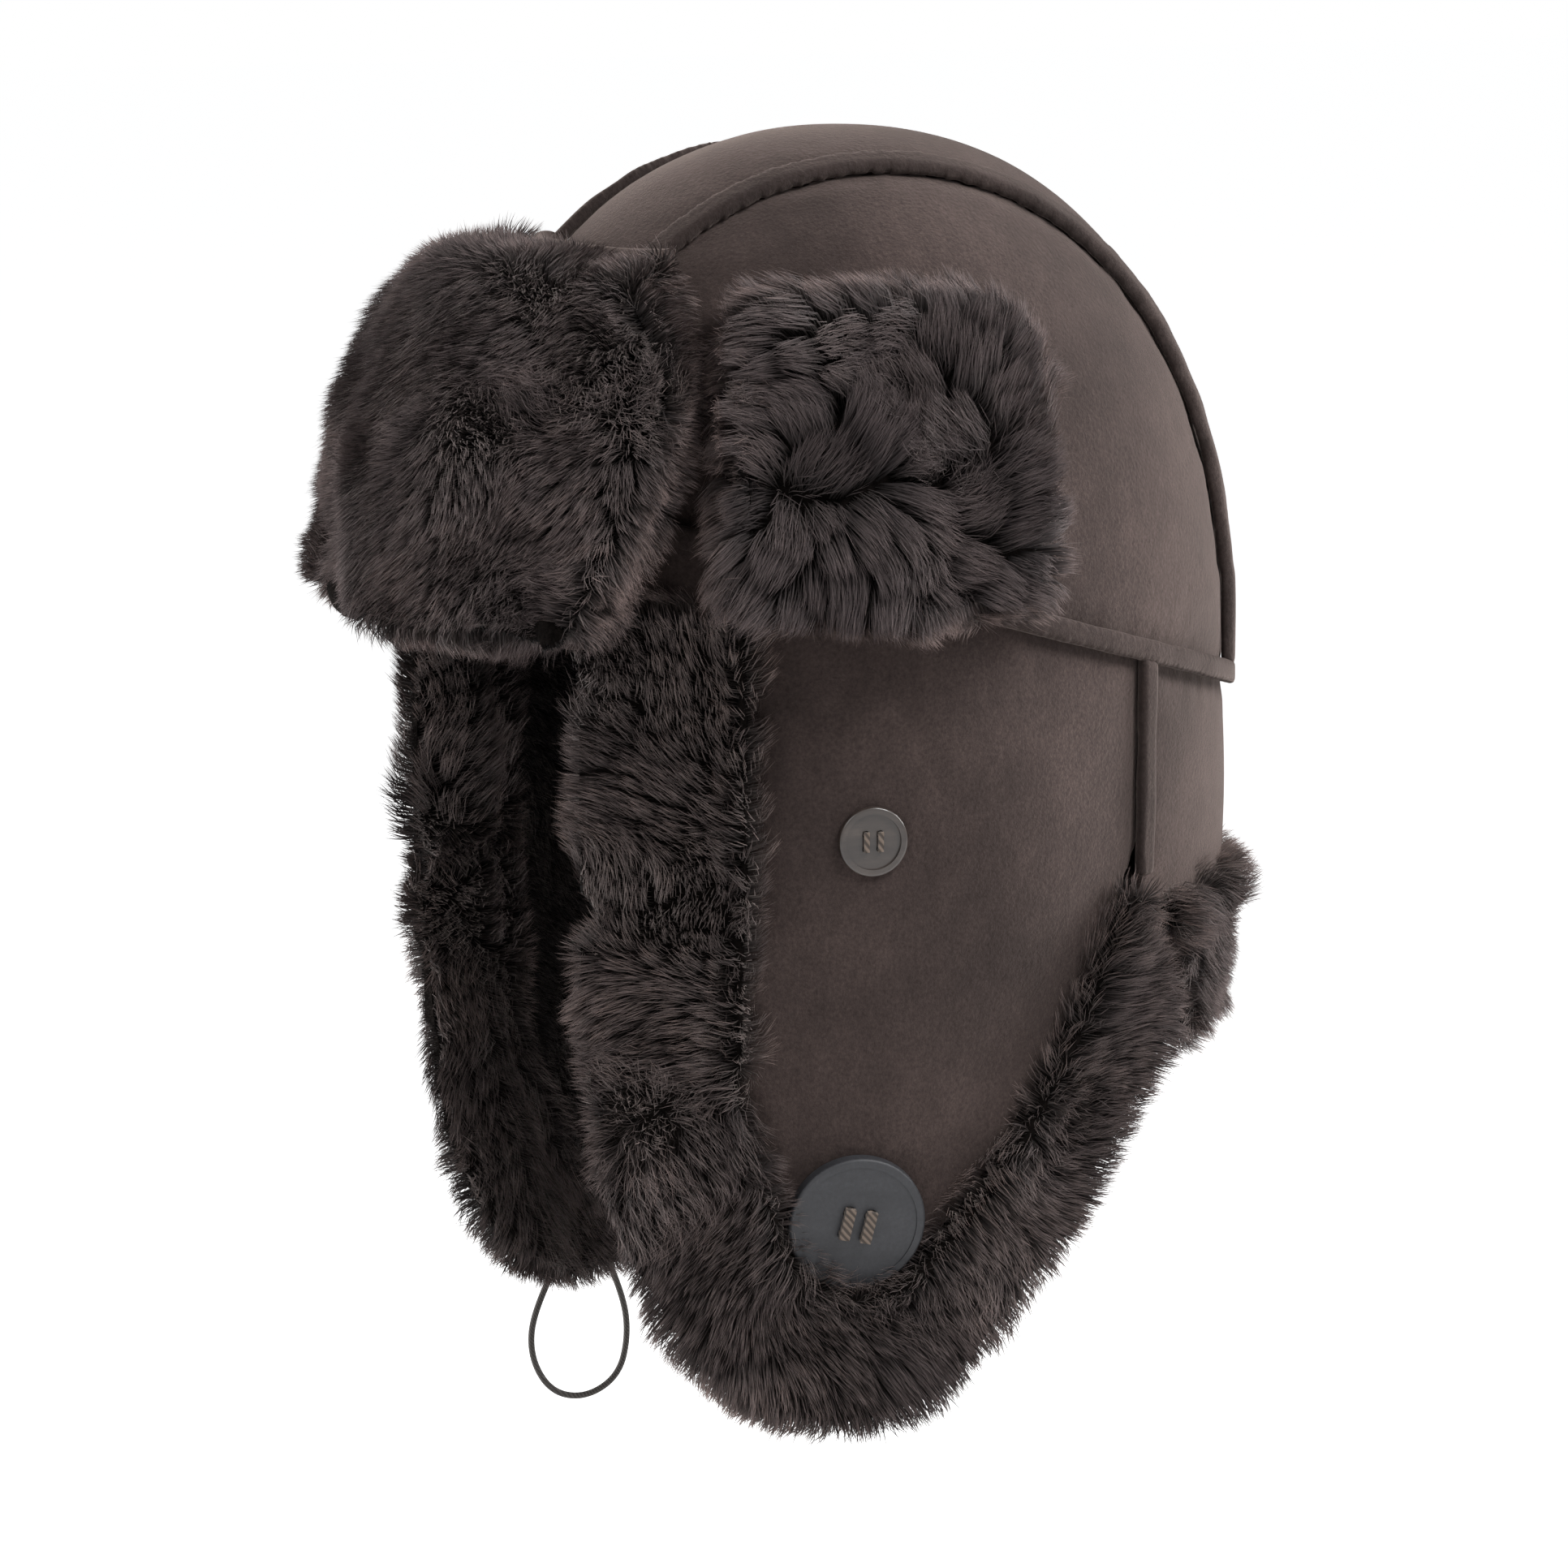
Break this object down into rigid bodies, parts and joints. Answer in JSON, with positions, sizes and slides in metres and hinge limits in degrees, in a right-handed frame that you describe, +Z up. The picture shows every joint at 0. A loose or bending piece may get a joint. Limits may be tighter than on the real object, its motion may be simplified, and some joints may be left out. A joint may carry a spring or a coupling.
{
  "type": "trapper hat",
  "caption": "Suede hat with fur outward on a turned-up front brim and side cuffs, hanging ear flaps with a fur rim, a button on one flap and an elastic loop on the other.",
  "frame": {"origin": "centre of the head opening, level with the band seam, at the head mount", "axes": "+Z up, -Y the way the face looks, +X the wearer's left"},
  "size_m": [0.2472, 0.2797, 0.38],
  "materials": {
    "suede": "napped brown suede",
    "piping": "rounded suede welt",
    "fur": "dense dark brown sheepskin pile",
    "fleece": "short dark pile",
    "button_resin": "glossy dark horn-like resin",
    "button_slate": "matte slate grey",
    "thread": "beige brown thread",
    "tape": "woven tape",
    "elastic": "braided elastic cord"
  },
  "bodies": {
    "hat": {"band_piping": "piping", "crown_centre_lining": "fleece", "crown_centre_panel": "suede", "crown_piping_left": "piping", "crown_piping_right": "piping", "crown_side_lining_left": "fleece", "crown_side_lining_right": "fleece", "crown_side_panel_left": "suede", "crown_side_panel_right": "suede", "ear_lining_left": "fleece", "ear_lining_right": "fleece", "ear_panel_left": "suede", "ear_panel_right": "suede", "ear_trim_left": "fur", "ear_trim_right": "fur", "front_brim_hem": "suede", "neck_lining": "fleece", "neck_panel": "suede", "neck_piping_left": "piping", "neck_piping_right": "piping", "neck_trim": "fur", "side_cuff_hem_left": "suede", "side_cuff_hem_right": "suede", "small_button_left": "button_resin", "small_button_right": "button_resin", "small_button_thread_left": "thread", "small_button_thread_right": "thread"},
    "front_brim": {"front_brim_pile": "fur", "front_brim_shell": "suede"},
    "side_cuff_left": {"side_cuff_pile_left": "fur", "side_cuff_shell_left": "suede"},
    "side_cuff_right": {"side_cuff_pile_right": "fur", "side_cuff_shell_right": "suede"},
    "ear_flap_left": {"ear_flap_left": "suede", "ear_flap_lining_left": "fleece", "flap_trim_left": "fur", "large_button": "button_slate", "large_button_thread": "thread"},
    "ear_flap_right": {"chin_loop": "elastic", "ear_flap_lining_right": "fleece", "ear_flap_right": "suede", "flap_trim_right": "fur", "loop_anchor": "tape"}
  },
  "joints": [
    {"name": "front_brim_fold", "type": "hinge", "parent": "hat", "child": "front_brim", "pos_m": [0, -0.138, -0.006], "axis": [1, 0, 0], "range_deg": [0, 100]},
    {"name": "side_cuff_left_fold", "type": "hinge", "parent": "hat", "child": "side_cuff_left", "pos_m": [0.10666, -0.04501, 0.002], "axis": [0.2786, 0.9604, 0], "range_deg": [0, 160]},
    {"name": "side_cuff_right_fold", "type": "hinge", "parent": "hat", "child": "side_cuff_right", "pos_m": [-0.10666, -0.04501, 0.002], "axis": [0.2786, -0.9604, 0], "range_deg": [0, 160]},
    {"name": "ear_flap_left_fold", "type": "hinge", "parent": "hat", "child": "ear_flap_left", "pos_m": [0.09176, -0.04042, -0.076], "axis": [0.1392, 0.9903, 0], "range_deg": [-140, 10]},
    {"name": "ear_flap_right_fold", "type": "hinge", "parent": "hat", "child": "ear_flap_right", "pos_m": [-0.09176, -0.04042, -0.076], "axis": [0.1392, -0.9903, 0], "range_deg": [-140, 10]}
  ]
}
